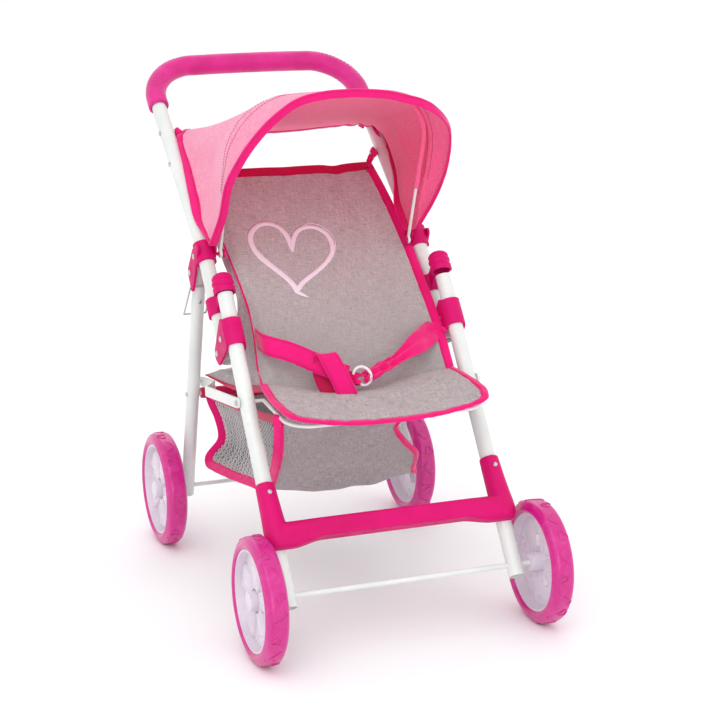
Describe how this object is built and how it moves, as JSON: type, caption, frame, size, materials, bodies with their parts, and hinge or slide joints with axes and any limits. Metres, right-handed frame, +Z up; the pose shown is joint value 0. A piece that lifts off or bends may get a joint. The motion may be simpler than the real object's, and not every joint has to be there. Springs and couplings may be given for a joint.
{
  "type": "doll stroller",
  "caption": "Folding doll stroller with a two-part tube frame, sling seat with lap belt, hood, under-seat basket, foam push bar and broad wheels.",
  "frame": {"origin": "on the floor, under the middle of the stroller's overall box", "axes": "+Y towards the push bar, +Z up, +X to the right of somebody who faces the stroller's front"},
  "size_m": [0.337, 0.5886, 0.5566],
  "materials": {
    "tube_white": "gloss",
    "plastic_pink": "satin",
    "grip_foam": "matt",
    "tyre_pink": "gloss",
    "disc_white": "satin",
    "cloth_grey": "woven",
    "cloth_pink": "woven",
    "strap_pink": "woven tape",
    "ring_white": "gloss",
    "steel": "plated"
  },
  "bodies": {
    "front_frame": {"front_leg_left": "tube_white", "front_leg_right": "tube_white", "front_axle": "tube_white", "footrest": "plastic_pink", "footrest_screws": "steel", "pivot_bracket_left": "plastic_pink", "pivot_bracket_right": "plastic_pink", "pivot_rivets": "steel"},
    "handle": {"handle_tube": "tube_white", "handle_grip": "grip_foam", "hood_bracket_left": "plastic_pink", "hood_bracket_right": "plastic_pink", "bracket_rivets": "steel", "seat_clips": "strap_pink", "hood_clips": "strap_pink", "arm_screws": "steel", "hood_pivots": "plastic_pink", "seat_back": "cloth_grey", "lap_belt": "strap_pink", "belt_ring": "ring_white"},
    "latch_left": {"latch_left": "plastic_pink"},
    "latch_right": {"latch_right": "plastic_pink"},
    "catch_left": {"catch_left": "steel"},
    "catch_right": {"catch_right": "steel"},
    "rear_frame": {"rear_leg_left": "tube_white", "rear_leg_right": "tube_white", "rear_axle": "tube_white", "rear_cross_rod": "tube_white", "rod_sleeve": "strap_pink", "rear_leg_screws": "steel"},
    "seat_frame": {"seat_rail_left": "tube_white", "seat_rail_right": "tube_white", "rail_rivets": "steel", "seat_wire": "tube_white", "seat_pad": "cloth_grey", "crotch_strap": "strap_pink", "basket": "cloth_grey"},
    "hood": {"hood_wire": "tube_white", "hood_cover": "cloth_pink"},
    "wheel_front_left": {"wheel_front_left_tyre": "tyre_pink", "wheel_front_left_disc": "disc_white"},
    "wheel_front_right": {"wheel_front_right_tyre": "tyre_pink", "wheel_front_right_disc": "disc_white"},
    "wheel_rear_left": {"wheel_rear_left_tyre": "tyre_pink", "wheel_rear_left_disc": "disc_white"},
    "wheel_rear_right": {"wheel_rear_right_tyre": "tyre_pink", "wheel_rear_right_disc": "disc_white"}
  },
  "joints": [
    {"name": "main_fold", "type": "hinge", "parent": "front_frame", "child": "handle", "pos_m": [0, -0.03085, 0.27313], "axis": [-1, 0, 0], "range_deg": [0, 100]},
    {"name": "rear_fold", "type": "hinge", "parent": "handle", "child": "rear_frame", "pos_m": [0, 0.07201, 0.34114], "axis": [1, 0, 0], "range_deg": [0, 56]},
    {"name": "seat_fold", "type": "hinge", "parent": "front_frame", "child": "seat_frame", "pos_m": [0, -0.10128, 0.237], "axis": [-1, 0, 0], "range_deg": [0, 66]},
    {"name": "hood_fold", "type": "hinge", "parent": "handle", "child": "hood", "pos_m": [0, 0.04001, 0.36714], "axis": [-1, 0, 0], "range_deg": [0, 60], "deforming": ["hood_cover"]},
    {"name": "latch_left_slide", "type": "slide", "parent": "handle", "child": "latch_left", "axis": [0, 0.6521, 0.7581], "range_m": [-0.0125, 0.012]},
    {"name": "latch_right_slide", "type": "slide", "parent": "handle", "child": "latch_right", "axis": [0, 0.6521, 0.7581], "range_m": [-0.018, 0.0065]},
    {"name": "catch_left_swing", "type": "hinge", "parent": "handle", "child": "catch_left", "pos_m": [0, 0.06501, 0.32614], "axis": [1, 0, 0], "range_deg": [0, 72.5]},
    {"name": "catch_right_swing", "type": "hinge", "parent": "handle", "child": "catch_right", "pos_m": [0, 0.06501, 0.32614], "axis": [1, 0, 0], "range_deg": [0, 72.5]},
    {"name": "wheel_front_left_spin", "type": "hinge", "parent": "front_frame", "child": "wheel_front_left", "pos_m": [0, -0.22828, 0.066], "axis": [1, 0, 0], "continuous": true},
    {"name": "wheel_front_right_spin", "type": "hinge", "parent": "front_frame", "child": "wheel_front_right", "pos_m": [0, -0.22828, 0.066], "axis": [1, 0, 0], "continuous": true},
    {"name": "wheel_rear_left_spin", "type": "hinge", "parent": "rear_frame", "child": "wheel_rear_left", "pos_m": [0, 0.14372, 0.066], "axis": [1, 0, 0], "continuous": true},
    {"name": "wheel_rear_right_spin", "type": "hinge", "parent": "rear_frame", "child": "wheel_rear_right", "pos_m": [0, 0.14372, 0.066], "axis": [1, 0, 0], "continuous": true}
  ],
  "couplings": [
    {"joint": "rear_fold", "follows": "main_fold", "ratio": 0.55},
    {"joint": "seat_fold", "follows": "main_fold", "ratio": 0.65},
    {"joint": "catch_left_swing", "follows": "main_fold", "ratio": 0.715},
    {"joint": "catch_right_swing", "follows": "main_fold", "ratio": 0.715}
  ]
}
